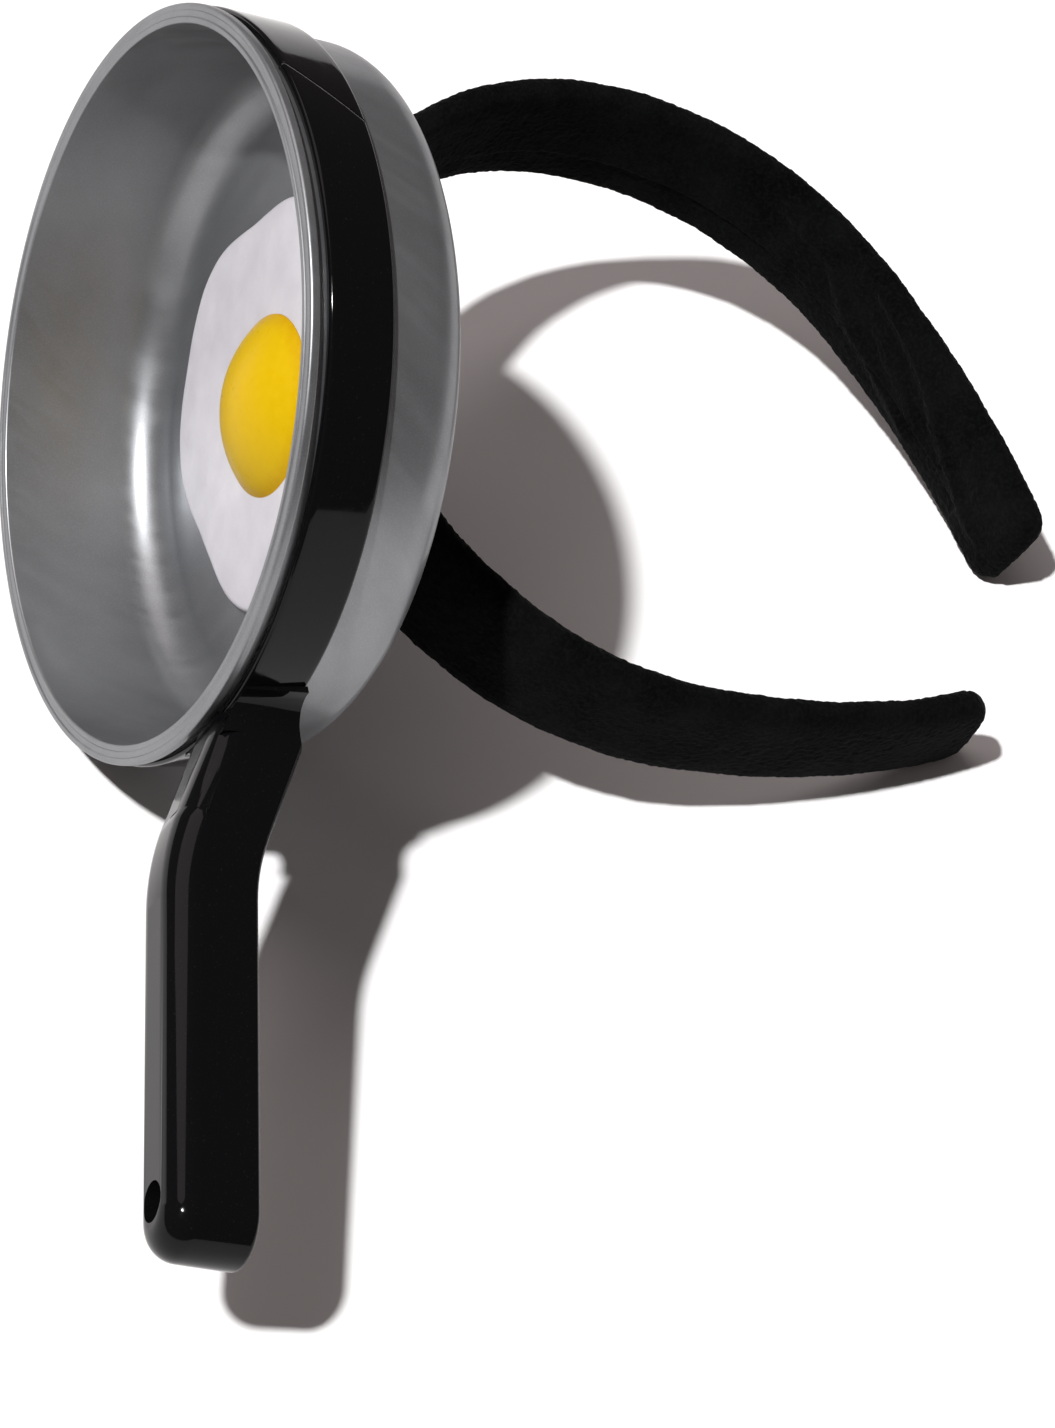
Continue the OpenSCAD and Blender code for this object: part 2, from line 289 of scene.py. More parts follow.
def velvet():
    """Short black pile: matt and dark, with brushed patches and a faint sheen."""
    mat, shader = new_material(
        "black_velvet", (0.004, 0.004, 0.0045), 0.95,
        Specular_IOR_Level=0.04,
        Sheen_Weight=0.019,
        Sheen_Roughness=0.4,
        Sheen_Tint=(0.78, 0.82, 0.81, 1),
    )
    patches = add_noise(mat, 90, 3, (1, 1, 1), 0.6)
    tufts = add_noise(mat, 1500, 3, (1, 1, 1), 0.7)
    brushed = add_range(mat, patches, 0.35, 0.7, 0, 1)
    base = add_blend(mat, brushed, (0.0009, 0.0010, 0.0011), (0.0036, 0.0038, 0.0038))
    speck = add_range(mat, tufts, 0.45, 0.75, 0, 0.6)
    pile = add_blend(mat, speck, base, (0.0078, 0.0081, 0.0081))
    normal = add_bump(mat, tufts, 0.35 * MM, 0.8, add_bump(mat, patches, 0.8 * MM, 0.4))
    feed(mat, shader, Base_Color=pile, Normal=normal)
    return mat


def silver_plastic():
    """Silver-painted plastic: satin, with fine flake and faint drawn streaks."""
    mat, shader = new_material(
        "silver_plastic", (0.22, 0.23, 0.24), 0.36,
        Metallic=0.8,
        Specular_Tint=(0.42, 0.42, 0.43, 1),
        Coat_Weight=0.3,
        Coat_Roughness=0.15,
    )
    flake = add_noise(mat, 4200, 1)
    cloud = add_noise(mat, 45, 3)
    streak = add_noise(mat, 420, 2, (1, 0.12, 0.12))
    shade = add_range(mat, cloud, 0.3, 0.7, 0, 1)
    tone = add_blend(mat, shade, (0.215, 0.221, 0.23), (0.27, 0.277, 0.287))
    base = add_blend(mat, add_range(mat, flake, 0.45, 0.75, 0, 0.35), tone, (0.34, 0.35, 0.36))
    rough = add_range(mat, streak, 0.3, 0.7, 0.36, 0.47)
    normal = add_bump(mat, flake, 0.02 * MM, 0.35, add_bump(mat, cloud, 0.25 * MM, 0.25))
    feed(mat, shader, Base_Color=base, Roughness=rough, Normal=normal)
    return mat


def black_plastic():
    """Gloss black plastic with faint moulding ripple, dust and handling marks."""
    mat, shader = new_material(
        "black_plastic", (0.004, 0.004, 0.0045), 0.08,
        Specular_IOR_Level=0.17,
    )
    ripple = add_noise(mat, 60, 2)
    marks = add_noise(mat, 520, 4, (1, 0.3, 1), 0.7)
    dust = add_noise(mat, 2600, 1)
    rough = add_range(mat, marks, 0.45, 0.8, 0.06, 0.17)
    dusty = add_range(mat, dust, 0.68, 0.8, 0, 0.5)
    base = add_blend(mat, dusty, (0.003, 0.003, 0.0034), (0.015, 0.015, 0.015))
    normal = add_bump(mat, ripple, 0.25 * MM, 0.15)
    feed(mat, shader, Base_Color=base, Roughness=rough, Normal=normal)
    return mat


def egg_white_plastic():
    """Soft white vinyl, a little waxy, with faint lilac shading and shallow ripples."""
    mat, shader = new_material(
        "egg_white_vinyl", (0.50, 0.485, 0.52), 0.42,
        Subsurface_Weight=0.12,
        Subsurface_Radius=(0.004, 0.003, 0.003),
        Subsurface_Scale=0.5,
        Coat_Weight=0.15,
        Coat_Roughness=0.2,
    )
    ripple = add_noise(mat, 130, 3)
    fine = add_noise(mat, 1600, 2)
    shade = add_range(mat, ripple, 0.3, 0.7, 0, 1)
    base = add_blend(mat, shade, (0.47, 0.455, 0.49), (0.54, 0.525, 0.555))
    rough = add_range(mat, fine, 0.3, 0.7, 0.36, 0.5)
    normal = add_bump(mat, fine, 0.05 * MM, 0.3, add_bump(mat, ripple, 0.5 * MM, 0.25))
    feed(mat, shader, Base_Color=base, Roughness=rough, Normal=normal)
    return mat


def yolk_plastic():
    """Satin yellow plastic, with painted shade: darker and more orange towards the foot of the dome."""
    mat, shader = new_material(
        "yolk_plastic", (0.87, 0.60, 0.02), 0.32,
        Subsurface_Weight=0.08,
        Subsurface_Radius=(0.004, 0.003, 0.001),
        Subsurface_Scale=0.4,
        Specular_IOR_Level=0.08,
    )
    foot = add_node(mat, "ShaderNodeAttribute", attribute_name="foot").outputs["Fac"]
    fleck = add_noise(mat, 700, 3)
    # Painted shade: the foot mask darkens the yellow to a deeper orange where the dome meets the white.
    tone = add_blend(mat, foot, (0.55, 0.35, 0.002), (0.47, 0.25, 0.002))
    base = add_blend(mat, add_range(mat, fleck, 0.4, 0.8, 0, 0.3), tone, (0.60, 0.40, 0.005))
    rough = add_range(mat, fleck, 0.3, 0.7, 0.27, 0.38)
    normal = add_bump(mat, fleck, 0.08 * MM, 0.3)
    feed(mat, shader, Base_Color=base, Roughness=rough, Normal=normal)
    return mat


def hot_glue():
    """Set hot glue: milky, waxy and lumpy."""
    mat, shader = new_material(
        "hot_glue", (0.72, 0.69, 0.58), 0.35,
        Subsurface_Weight=0.4,
        Subsurface_Radius=(0.003, 0.0025, 0.002),
    )
    lumps = add_noise(mat, 380, 3)
    base = add_blend(mat, lumps, (0.66, 0.62, 0.50), (0.80, 0.78, 0.70))
    feed(mat, shader, Base_Color=base, Normal=add_bump(mat, lumps, 0.2 * MM, 0.4))
    return mat


def inner_strip():
    """The band's springy strip: plain plastic, drawn along its length."""
    mat, shader = new_material("core_strip", (0.68, 0.68, 0.65), 0.5)
    drawn = add_noise(mat, 900, 2, (0.2, 1, 0.2))
    rough = add_range(mat, drawn, 0.3, 0.7, 0.4, 0.6)
    feed(mat, shader, Roughness=rough, Normal=add_bump(mat, drawn, 0.05 * MM, 0.4))
    return mat


def inner_foam():
    """The band's pad: dark foam with open cells, their hollows darker with painted shade."""
    mat, shader = new_material("foam_pad", (0.05, 0.05, 0.05), 0.95)
    cells = add_node(mat, "ShaderNodeTexVoronoi", Scale=1800.0)
    depth = cells.outputs["Distance"]
    # Painted shade: each cell is darker towards its middle, where the bump sinks it.
    base = add_blend(mat, depth, (0.03, 0.03, 0.03), (0.08, 0.08, 0.08))
    feed(mat, shader, Base_Color=base, Normal=add_bump(mat, depth, 0.3 * MM, 0.6))
    return mat


# ---- Building tools ----

def make_piece(name, verts, faces, place, mat):
    """A smooth-shaded, closed mesh piece, from points given in the frame that place is."""
    mesh = bpy.data.meshes.new(name)
    mesh.from_pydata([place @ Vector(v) for v in verts], [], faces)
    mesh.validate()
    weld(mesh)
    turn_faces_out(mesh)
    mesh.polygons.foreach_set("use_smooth", [True] * len(mesh.polygons))
    mesh.materials.append(mat)
    return add_object(name, mesh)


def weld(mesh):
    """Merges points that share a place, and drops the faces and edges which that flattens."""
    shape = bmesh.new()
    shape.from_mesh(mesh)
    bmesh.ops.remove_doubles(shape, verts=shape.verts, dist=0.001 * MM)
    loose = [e for e in shape.edges if e.is_wire]
    bmesh.ops.delete(shape, geom=loose, context="EDGES")
    shape.to_mesh(mesh)
    shape.free()


def turn_faces_out(mesh):
    """Turns all faces of a closed mesh to look outwards."""
    shape = bmesh.new()
    shape.from_mesh(mesh)
    bmesh.ops.recalc_face_normals(shape, faces=shape.faces)
    shape.to_mesh(mesh)
    shape.free()


def fillet(corners, steps=8):
    """A closed outline with its corners rounded. Each corner is (x, y, radius)."""
    outline = []
    for i, (x, y, radius) in enumerate(corners):
        here = Vector((x, y))
        if radius == 0:
            outline.append(here)
            continue
        before = (Vector(corners[i - 1][:2]) - here).normalized()
        after = (Vector(corners[(i + 1) % len(corners)][:2]) - here).normalized()
        half = before.angle(after) / 2
        centre = here + (before + after).normalized() * radius / math.sin(half)
        start = here + before * radius / math.tan(half) - centre
        sweep = math.pi - 2 * half
        side = 1 if before.x * after.y - before.y * after.x < 0 else -1
        for k in range(steps + 1):
            outline.append(centre + Matrix.Rotation(side * sweep * k / steps, 2) @ start)
    return outline


def subdivide_long(outline, longest):
    """The same closed outline with its long straight runs cut into pieces."""
    done = []
    for i, a in enumerate(outline):
        b = outline[(i + 1) % len(outline)]
        cuts = max(1, math.ceil((b - a).length / longest))
        done += [a.lerp(b, k / cuts) for k in range(cuts)]
    return done


def turn_outline(outline, angles):
    """The points and faces of a closed outline, given as radius and height, turned round z."""
    n, m = len(outline), len(angles)
    verts = [(p.x * math.cos(a), p.x * math.sin(a), p.y) for a in angles for p in outline]
    faces = [
        (i * n + j, i * n + (j + 1) % n, (i + 1) % m * n + (j + 1) % n, (i + 1) % m * n + j)
        for i in range(m)
        for j in range(n)
    ]
    return verts, faces


def even_angles(count):
    return [2 * math.pi * k / count for k in range(count)]


def stack_faces(n, rows):
    """Faces of a closed stack: a first point, rows of n points each, and a last point."""
    faces = [(0, 1 + j, 1 + (j + 1) % n) for j in range(n)]
    for i in range(rows - 1):
        a, b = 1 + i * n, 1 + (i + 1) * n
        faces += [(a + j, a + (j + 1) % n, b + (j + 1) % n, b + j) for j in range(n)]
    last = 1 + (rows - 1) * n
    return faces + [(last + j, last + (j + 1) % n, 1 + rows * n) for j in range(n)]


# ---- Pan ----

def make_bowl(mat):
    """The bowl: a turned section, with a drafted wall and a groove between its lip's two beads."""
    inner_r = pan_r - lip_w
    corners = [
        (0, floor_z, 0),
        (inner_r + draft * floor_z, floor_z, inner_corner_r),
        (inner_r, 0, 0.45 * MM),
        (inner_r + inner_bead, 0, lip_groove),
        (inner_r + inner_bead + lip_groove, -lip_groove, 0.2 * MM),
        (pan_r - outer_bead - lip_groove, -lip_groove, 0.2 * MM),
        (pan_r - outer_bead, 0, lip_groove),
        (pan_r, 0, 0.6 * MM),
        (pan_r, -lip_t, 0.5 * MM),
        (wall_r - draft * lip_t, -lip_t, 0.4 * MM),
        (wall_r - draft * pan_depth, -pan_depth, corner_r),
        (0, -pan_depth, 0),
    ]
    outline = subdivide_long(fillet(corners, 14), 3 * MM)
    verts, faces = turn_outline(outline, even_angles(256))
    bowl = make_piece("bowl", verts, faces, pan_frame, mat)
    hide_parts("pan_bowl")
    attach(bowl, "crown")


def make_ring(mat):
    """The black ring, with round edges and the groove of its slanted closing joint."""
    inner = wall_r + fit_gap
    corners = [
        (inner - draft * ring_front, -ring_front, 0.25 * MM),
        (inner + ring_t - draft * ring_front, -ring_front, 0.6 * MM),
        (inner + ring_t - draft * ring_back, -ring_back, 0.7 * MM),
        (inner - draft * ring_back, -ring_back, 0.25 * MM),
    ]
    outline = subdivide_long(fillet(corners, 6), 0.8 * MM)
    columns = [a for a in even_angles(240) if abs(a - joint_at) > 1.4 * MM / inner]
    close = (-1, -0.5, -0.27, -0.2, -0.08, 0.08, 0.2, 0.27, 0.5, 1)
    columns += [joint_at + k * MM / inner for k in close]
    columns.sort()
    verts, faces = turn_outline(outline, columns)
    middle = -(ring_front + ring_back) / 2
    outer_side = inner + 0.6 * MM - draft * ring_back
    for i, (x, y, z) in enumerate(verts):
        a = columns[i // len(outline)]
        r = math.hypot(x, y)
        off = a - joint_at
        if abs(off) < joint_half / inner and r > outer_side:
            r -= joint_groove
        share = float(step_up(1 - abs(off) / math.radians(20), 1))
        a += share * (z - middle) * math.tan(joint_slant) / inner
        verts[i] = (r * math.cos(a), r * math.sin(a), z)
    ring = make_piece("ring", verts, faces, pan_frame, mat)
    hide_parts("pan_ring")
    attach(ring, "crown")


def soften_handle():
    """Gives the handle's sharp edges a small moulded radius."""
    handle = frame["nodes"]["handle"]
    join = handle.modifiers.new("weld", "WELD")
    join.merge_threshold = 0.002 * MM
    bevel = handle.modifiers.new("bevel", "BEVEL")
    bevel.width = handle_bevel
    bevel.segments = 3
    bevel.limit_method = "ANGLE"
    bevel.angle_limit = math.radians(38)
    bevel.harden_normals = True


# ---- Egg ----

def egg_outline(a):
    """The radius of the egg white's wavy outline at angle a."""
    six = 0.030 * math.cos(6 * a + math.radians(246))
    three = 0.028 * math.cos(3 * a + math.radians(20))
    two = 0.022 * math.cos(2 * a - math.radians(30))
    return egg_r * (1 + six + three + two)


def disc(name, profile, edge, angles, place, mat, rise=None):
    """A closed disc. Its profile, from the bottom to the top middle, gives (share, height).

    The share is of the edge's radius at that angle. The rise lifts the top at a place.
    """
    verts = [(0, 0, profile[0][1])]
    for share, z in profile:
        for a in angles:
            r = edge(a) * share
            x, y = r * math.cos(a), r * math.sin(a)
            verts.append((x, y, z + (rise(x, y) if rise and z > 0 else 0)))
    verts.append((0, 0, profile[-1][1] + (rise(0, 0) if rise else 0)))
    return make_piece(name, verts, stack_faces(len(angles), len(profile)), place, mat)


def egg_swell(x, y):
    """The white's uneven rise at a place on its top: low lumps, fine ones and a fuller middle."""
    low = noise.noise(Vector((x * 55, y * 55, 3.1)))
    fine = noise.noise(Vector((x * 190, y * 190, 7.7)))
    far = 1 - min(math.hypot(x, y) / egg_r, 1)
    return (0.30 * low + 0.10 * fine + 0.25 * min(3 * far, 1)) * MM


def round_profile(height, edge_r, width, shares):
    """A disc's profile: a flat bottom, a round edge and a flat top."""
    rows = [(0.6, 0.0), (1 - 1.2 * edge_r / width, 0.0)]
    for k in range(9):
        a = math.pi * (k / 8 - 0.5)
        share = 1 - edge_r * (1 - math.cos(a)) / width
        rows.append((share, height / 2 + height / 2 * math.sin(a)))
    return rows + [(share, height) for share in shares]


def make_egg_white(mat):
    place = pan_frame @ Matrix.Translation((*egg_at, floor_z + egg_lift))
    profile = round_profile(egg_t, 0.9 * MM, egg_r, [0.96 - 0.04 * k for k in range(23)])
    angles = even_angles(216)
    white = disc("egg_white_vinyl", profile, egg_outline, angles, place, mat, egg_swell)
    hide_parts("egg_white")
    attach(white, "crown")


def make_egg_yolk(mat):
    """The yolk's dome, with an attribute that is 1 at its foot, for the painted shade there."""
    yolk_frame = pan_frame @ Matrix.Translation((*yolk_at, floor_z + egg_lift + egg_t))
    ball_r = (yolk_r**2 + yolk_h**2) / (2 * yolk_h)
    top = math.asin(yolk_r / ball_r)
    dome = [(0.6, 0.0), (0.97, 0.0), (0.995, 0.15 * MM)]
    for k in range(40):
        a = top * (0.985 - 0.985 * k / 40)
        dome.append((ball_r * math.sin(a) / yolk_r, ball_r * math.cos(a) - ball_r + yolk_h))
    yolk = disc("egg_yolk_dome", dome, lambda a: yolk_r, even_angles(128), yolk_frame, mat)
    back = yolk_frame.inverted()
    # The mask for the painted shade: 1 at the dome's foot, fading to 0 at 2.2 mm up.
    foot = [max(0.0, 1 - (back @ v.co).z / (2.2 * MM)) for v in yolk.data.vertices]
    yolk.data.attributes.new("foot", "FLOAT", "POINT").data.foreach_set("value", foot)
    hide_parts("egg_yolk")
    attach(yolk, "crown")


def make_glue(mat):
    """Glue pressed out between the band and the pan's floor: a blot with a bulging edge.

    Its underside is sunk to follow the band's curve.
    """
    place = hoop_frame @ Matrix.Rotation(pan_lean, 4, "Y") @ Matrix.Translation((0, 0, hoop_out))
    foot = -0.5 * MM
    bulge = [(1.0, foot), (1.03, -0.2 * MM), (1.05, 0.15 * MM), (1.04, 0.6 * MM), (1.02, MM)]
    profile = [(0.5, foot), (0.9, foot), *bulge, (1.04, glue_t), (0.9, glue_t), (0.5, glue_t)]
    verts = [(0, 0, foot)]
    angles = even_angles(96)
    for share, z in profile:
        for a in angles:
            ripple = noise.noise(Vector((2.1 * math.cos(a), 2.1 * math.sin(a), 0.4)))
            r = (glue_r + glue_squeeze * (ripple - math.sin(a) ** 2)) * share
            x, y = r * math.cos(a), r * math.sin(a)
            sink = hoop_out - math.sqrt(hoop_out**2 - x * x)
            verts.append((x, y, z - sink * (glue_t - z) / glue_t))
    verts.append((0, 0, glue_t))
    faces = stack_faces(len(angles), len(profile))
    glue = make_piece("glue_blot", verts, faces, place, mat)
    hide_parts("pan_glue")
    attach(glue, "crown")


# ---- Band ----

tail_x = (hoop_r - tail_r) * math.sin(crown_half)
tail_z = (hoop_r - tail_r) * math.cos(crown_half)
tip_z = tail_z + (tail_r + band_t / 2) * math.cos(crown_half + tail_angle)
crown_len = hoop_r * crown_half
arm_len = crown_len + tail_r * tail_angle
pan_cut = hoop_r * pan_lean

# The cloth simulation runs this many times larger than life, because it is steadier there.
sim_scale = 20
sim_steps = 16
sim_shrink = -0.16
most_moved = 1.75 * MM

# The lap seam's place and how far down it is stitched, the folded tip's length, and how far
# lumps and pile stand up.
seam_y = -3.7 * MM
seam_len = 105 * MM
tuck_len = 14.5 * MM
lump_h = 0.17 * MM
pile_h = 0.19 * MM
sleeve_lift = 0.08 * MM

# The left tip is a little shorter than the right one, which is cut askew and turned up.
tip_skew = 0.3
tip_rise = 1.6 * MM
tip_bend = 30 * MM
tip_extra = {-1: -0.2 * MM, 1: 3.0 * MM}

# Folds in the slack velvet on the inner face: the arm's side, then in mm the fold's height and
# its line, along the band from the crown's top and across it.
fold_w = 1.25 * MM
folds = [
    (-1, 1.65, [(108, 7.5), (113, 6.5), (122, 5.0), (131.5, -1.5), (145, -4.5), (156, -6.5)]),
    (-1, 1.55, [(134, 9.0), (148, 6.5), (161.5, 1.0), (176, -3.0), (182, -3.6)]),
    (-1, 0.6, [(84, 3.0), (98, 4.0), (112, 1.0)]),
    (-1, 0.6, [(40, -7.5), (60, -6.0), (78, -7.5)]),
    (1, 1.2, [(104, 6.0), (120, 3.5), (134, -2.0), (150, -5.5)]),
    (1, 1.1, [(140, 7.5), (156, 3.0), (172, -1.5)]),
    (1, 0.6, [(52, 5.0), (74, 3.5), (92, 6.5)]),
]


def band_at(s):
    """The band's middle and its outward direction, at distance s from the crown's top."""
    side, d = math.copysign(1, s), abs(s)
    if d <= crown_len:
        a = d / hoop_r
        x, z = hoop_r * math.sin(a), hoop_r * math.cos(a)
    else:
        a = crown_half + (d - crown_len) / tail_r
        x, z = tail_x + tail_r * math.sin(a), tail_z + tail_r * math.cos(a)
    return Vector((side * x, 0, z)), Vector((side * math.sin(a), 0, math.cos(a)))


def to_tip(s):
    """The length of band left between s and the tip on its side."""
    return max(arm_len + tip_extra[1 if s > 0 else -1] - abs(s), 0)


def half_width(s):
    """Half the band's width. It narrows down the arms, and its tips have round corners."""
    z = band_at(s)[0].z
    share = min(max((taper_z - z) / (taper_z - tip_z - tip_round), 0), 1)
    half = (band_w + (tip_w - band_w) * share) / 2
    left = to_tip(s)
    if left < tip_round:
        half -= tip_round - math.sqrt(tip_round**2 - (tip_round - left) ** 2)
    return half


def half_thickness(s):
    """Half the band's thickness, rounded off at the tips."""
    round_off = 2.6 * MM
    left = to_tip(s)
    return band_t / 2 * (math.sqrt(1 - (1 - left / round_off) ** 2) if left < round_off else 1)


def band_rows(spacing):
    """Distances for the rows of a sleeve's mesh: closer at the tips, with one row at the cut."""
    tip = [k * MM for k in (0.06, 0.35, 0.9, 1.7, 2.7, 4.0, 5.6)]
    first, last = -arm_len - tip_extra[-1], arm_len + tip_extra[1]
    rows = []
    for low, high in ((first + tip[-1], pan_cut), (pan_cut, last - tip[-1])):
        count = round((high - low) / spacing)
        rows += [low + (high - low) * k / count for k in range(count)]
    rows.append(last - tip[-1])
    return [first + k for k in tip[:-1]] + rows + [last - k for k in reversed(tip[:-1])]


def superellipse(count, power=3.6):
    """Unit outline with flat faces and round edges, evenly spread."""
    fine = []
    for k in range(720):
        a = 2 * math.pi * k / 720
        c, s = math.cos(a), math.sin(a)
        x, y = abs(c) ** (2 / power), abs(s) ** (2 / power)
        fine.append((math.copysign(x, c), math.copysign(y, s)))
    points = np.array(fine)
    step = np.linalg.norm((np.roll(points, -1, 0) - points) * (band_w, band_t), axis=1)
    run = np.concatenate([[0], np.cumsum(step)])
    closed = np.vstack([points, points[:1]])
    at = np.linspace(0, run[-1], count, endpoint=False)
    return [(np.interp(t, run, closed[:, 0]), np.interp(t, run, closed[:, 1])) for t in at]


def sweep_band(name, rows, outline, shrink=0.0):
    """A closed sleeve round the band, in the hoop's frame and at the simulation's scale.

    Its points remember how far along the band they are, how far across, and how far out.
    """
    verts, along, over, out = [], [], [], []
    for s in rows:
        middle, outward = band_at(s)
        ahead = (band_at(s + 0.5 * MM)[0] - middle).normalized()
        half_w = half_width(s) - shrink
        half_t = max(half_thickness(s) - shrink, 0.2 * MM)
        end = max(1 - to_tip(s) / tip_bend, 0) ** 2 if s > 0 else 0
        for y, n in outline:
            sideways = Vector((0, y * half_w + tip_rise * end, 0))
            sideways -= ahead * y * half_w * tip_skew * end
            verts.append(middle + sideways + outward * n * half_t)
            along.append(s)
            over.append(y * half_w)
            out.append(n)
    n = len(outline)
    faces = [
        (i * n + j, i * n + (j + 1) % n, (i + 1) * n + (j + 1) % n, (i + 1) * n + j)
        for i in range(len(rows) - 1)
        for j in range(n)
    ]
    faces += end_faces(0, n) + end_faces((len(rows) - 1) * n, n)
    mesh = bpy.data.meshes.new(name)
    mesh.from_pydata([v * sim_scale for v in verts], [], faces)
    for key, values in (("along", along), ("over", over), ("out", out)):
        attribute = mesh.attributes.new(key, "FLOAT", "POINT")
        attribute.data.foreach_set("value", values)
    turn_faces_out(mesh)
    return add_object(name, mesh)


def end_faces(first, n):
    """Faces that close a ring of n points by joining its two long sides across."""
    return [
        (first + k, first + k + 1, first + (n - k - 2) % n, first + (n - k - 1) % n)
        for k in range(n // 2 - 1)
    ]


def read(mesh, key):
    """A point attribute's values."""
    values = np.zeros(len(mesh.vertices), np.float32)
    mesh.attributes[key].data.foreach_get("value", values)
    return values.astype(float)


def pucker(mesh, along, over, out):
    """Lifts the velvet along the fold lines, so that it gathers there. Returns the lift."""
    lift = np.zeros(len(along))
    for side, height, line in folds:
        line = np.array(line) * MM
        near = np.full(len(along), 1.0)
        for a, b in zip(line[:-1], line[1:]):
            points = np.stack([np.abs(along), over], 1)
            share = np.clip(((points - a) @ (b - a)) / ((b - a) @ (b - a)), 0, 1)
            near = np.minimum(near, np.linalg.norm(points - a - share[:, None] * (b - a), axis=1))
        inner_side = (np.sign(along) == side) * (out < -0.2)
        lift += inner_side * height * MM * np.exp(-((near / fold_w) ** 2))
    inward = np.array([-band_at(s)[1] for s in along])
    moved = inward * lift[:, None] * sim_scale
    co = np.array([v.co for v in mesh.vertices]) + moved
    mesh.vertices.foreach_set("co", co.astype(np.float32).ravel())
    mesh.update()
    return moved


def drape(cover, core):
    """Cloth simulation: the inner face's velvet has length to spare, so it puckers."""
    mesh = cover.data
    along, over, out = (read(mesh, k) for k in ("along", "over", "out"))
    loose = np.clip((0.35 - out) / 0.5, 0, 1)
    stitched = 1 - np.clip((np.abs(over - seam_y) - 0.6 * MM) / MM, 0, 1)
    loose *= 1 - 0.9 * stitched * (np.abs(along) < seam_len)
    start = pucker(mesh, along, over, out)
    held = cover.vertex_groups.new(name="held")
    spare = cover.vertex_groups.new(name="spare")
    for i, share in enumerate(loose):
        held.add([i], float(1 - share), "REPLACE")
        spare.add([i], float(share), "REPLACE")
    core.modifiers.new("collision", "COLLISION")
    core.collision.thickness_outer = 0.004
    cloth = cover.modifiers.new("cloth", "CLOTH")
    settings = cloth.settings
    settings.quality = 6
    settings.mass = 0.25
    settings.tension_stiffness = settings.compression_stiffness = 12
    settings.shear_stiffness = 4
    settings.bending_stiffness = 0.35
    settings.air_damping = 2
    settings.vertex_group_mass = "held"
    settings.vertex_group_shrink = "spare"
    settings.shrink_min = 0.0
    settings.shrink_max = sim_shrink
    settings.effector_weights.gravity = 0
    cloth.collision_settings.distance_min = 0.004
    cloth.point_cache.frame_end = sim_steps
    rest = np.array([v.co for v in mesh.vertices]) - start
    for step in range(1, sim_steps + 1):
        bpy.context.scene.frame_set(step)
    draped = cover.evaluated_get(bpy.context.evaluated_depsgraph_get())
    moved = np.array([v.co for v in draped.to_mesh().vertices]) - rest
    draped.to_mesh_clear()
    cover.modifiers.clear()
    bpy.context.scene.frame_set(1)
    length = np.linalg.norm(moved, axis=1, keepdims=True)
    moved *= np.minimum(1, most_moved * sim_scale / np.maximum(length, 1e-9))
    mesh.vertices.foreach_set("co", (rest + moved).astype(np.float32).ravel())


def step_up(value, soft):
    """0 below the edge and 1 above it, with a soft change."""
    t = np.clip(value / soft + 0.5, 0, 1)
    return t * t * (3 - 2 * t)


def finish_sleeve(cover):
    """Smooths the sleeve, raises its glued edge and tip folds, and gives it lumps and pile.

    It also brings the sleeve back to its real size.
    """
    smooth = cover.modifiers.new("smooth", "SUBSURF")
    smooth.levels = 2
    smoothed = cover.evaluated_get(bpy.context.evaluated_depsgraph_get())
    fine = bpy.data.meshes.new_from_object(smoothed)
    cover.modifiers.clear()
    cover.data = fine
    n = len(fine.vertices)
    co, normal = np.zeros(n * 3, np.float32), np.zeros(n * 3, np.float32)
    fine.vertices.foreach_get("co", co)
    fine.vertices.foreach_get("normal", normal)
    co, normal = co.reshape(-1, 3) / sim_scale, normal.reshape(-1, 3)
    along, over, out = (read(fine, k) for k in ("along", "over", "out"))
    places = [Vector(p) for p in co * 1000.0]
    lump = np.array([noise.noise(p * 0.16) for p in places])
    pile = np.array([noise.noise(p * 1.15) for p in places])
    wander = np.array([noise.noise(Vector((a * 60, 0, 0))) for a in along]) * 0.6 * MM
    inner = np.clip(-out * 6 - 3, 0, 1)
    left = np.array([to_tip(a) for a in along])
    half = np.array([half_width(a) for a in along])
    flap = step_up(over - seam_y - wander, 0.5 * MM)
    flap *= np.clip(1.1 - (over - seam_y) / lining_w, 0, 1)
    tuck = step_up(half - 2.5 * MM - np.abs(over), 0.6 * MM) * step_up(left - 2.7 * MM, 0.8 * MM)
    tuck *= step_up(tuck_len + 2 * wander - left, 0.5 * MM)
    lift = lining_t * inner * np.maximum(flap, tuck)
    lift += lump_h * lump + pile_h * pile + sleeve_lift
    co += normal * lift[:, None]
    fine.vertices.foreach_set("co", co.astype(np.float32).ravel())
    fine.update()


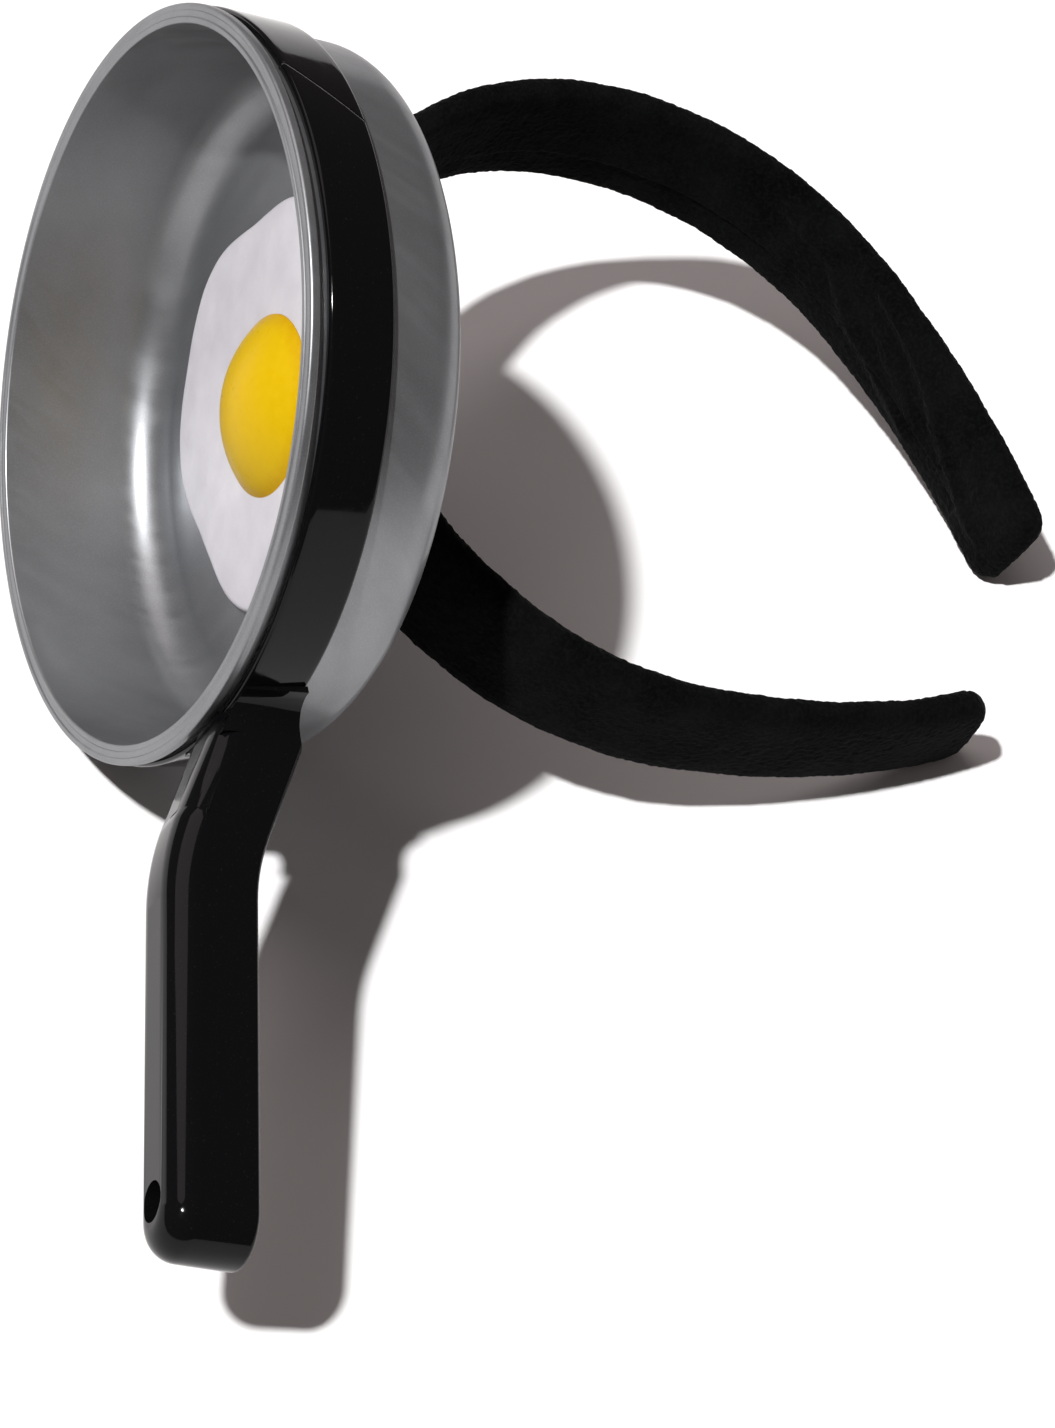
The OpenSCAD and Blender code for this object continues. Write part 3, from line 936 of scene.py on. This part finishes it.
def keep_side(cover, name, sign, mat):
    """A copy of the sleeve with only the part on one side of the cut, closed at the cut."""
    piece = add_object(name, cover.data.copy())
    shape = bmesh.new()
    shape.from_mesh(piece.data)
    along = shape.verts.layers.float["along"]

    def past_cut(face):
        return sum(v[along] for v in face.verts) / len(face.verts) - pan_cut

    off = [f for f in shape.faces if sign * past_cut(f) < 0]
    bmesh.ops.delete(shape, geom=off, context="FACES")
    rim = [e for e in shape.edges if e.is_boundary]
    bmesh.ops.holes_fill(shape, edges=rim, sides=0)
    bmesh.ops.recalc_face_normals(shape, faces=shape.faces)
    shape.to_mesh(piece.data)
    shape.free()
    piece.data.transform(hoop_frame)
    piece.data.materials.clear()
    piece.data.materials.append(mat)
    piece.data.polygons.foreach_set("use_smooth", [True] * len(piece.data.polygons))
    return piece


def make_band(mat):
    """The velvet sleeve, in two pieces that meet under the pan, each blended over its hinge."""
    cover = sweep_band("cover", band_rows(1.7 * MM), superellipse(40))
    core = sweep_band("core", band_rows(4 * MM), superellipse(24, 4.5), 0.35 * MM)
    drape(cover, core)
    bpy.data.objects.remove(core)
    finish_sleeve(cover)
    hinge_s = hoop_r * flex_at
    for name, sign in (("left", -1), ("right", 1)):
        piece = keep_side(cover, "velvet_sleeve_" + name, sign, mat)
        start = hoop_frame @ band_at(sign * (hinge_s - flex_half))[0]
        end = hoop_frame @ band_at(sign * (hinge_s + flex_half))[0]
        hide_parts("velvet_" + name, "lining_" + name, "tuck_" + name)
        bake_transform(piece, "crown", "arm_" + name, start, end)
        if name == "left":
            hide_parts("velvet_crown", "lining_crown")
    bpy.data.objects.remove(cover)


def material_slots():
    """One material for each of the record's material slots."""
    looks = {
        "velvet": velvet(),
        "silver_plastic": silver_plastic(),
        "black_plastic": black_plastic(),
        "egg_white": egg_white_plastic(),
        "egg_yolk": yolk_plastic(),
        "glue": hot_glue(),
        "core_plastic": inner_strip(),
        "foam": inner_foam(),
    }
    looks["lining"] = looks["velvet"]
    return looks


def main():
    add_camera()
    add_lights()
    add_floor()
    looks = material_slots()
    for part in frame["record"]["subparts"]:
        node = frame["nodes"][part["node"]]
        node.data.materials.clear()
        node.data.materials.append(looks[part["material_slot"]])
    make_bowl(looks["silver_plastic"])
    make_ring(looks["black_plastic"])
    soften_handle()
    make_egg_white(looks["egg_white"])
    make_egg_yolk(looks["egg_yolk"])
    make_glue(looks["glue"])
    make_band(looks["velvet"])
    bpy.context.scene.view_settings.view_transform = "Standard"


main()
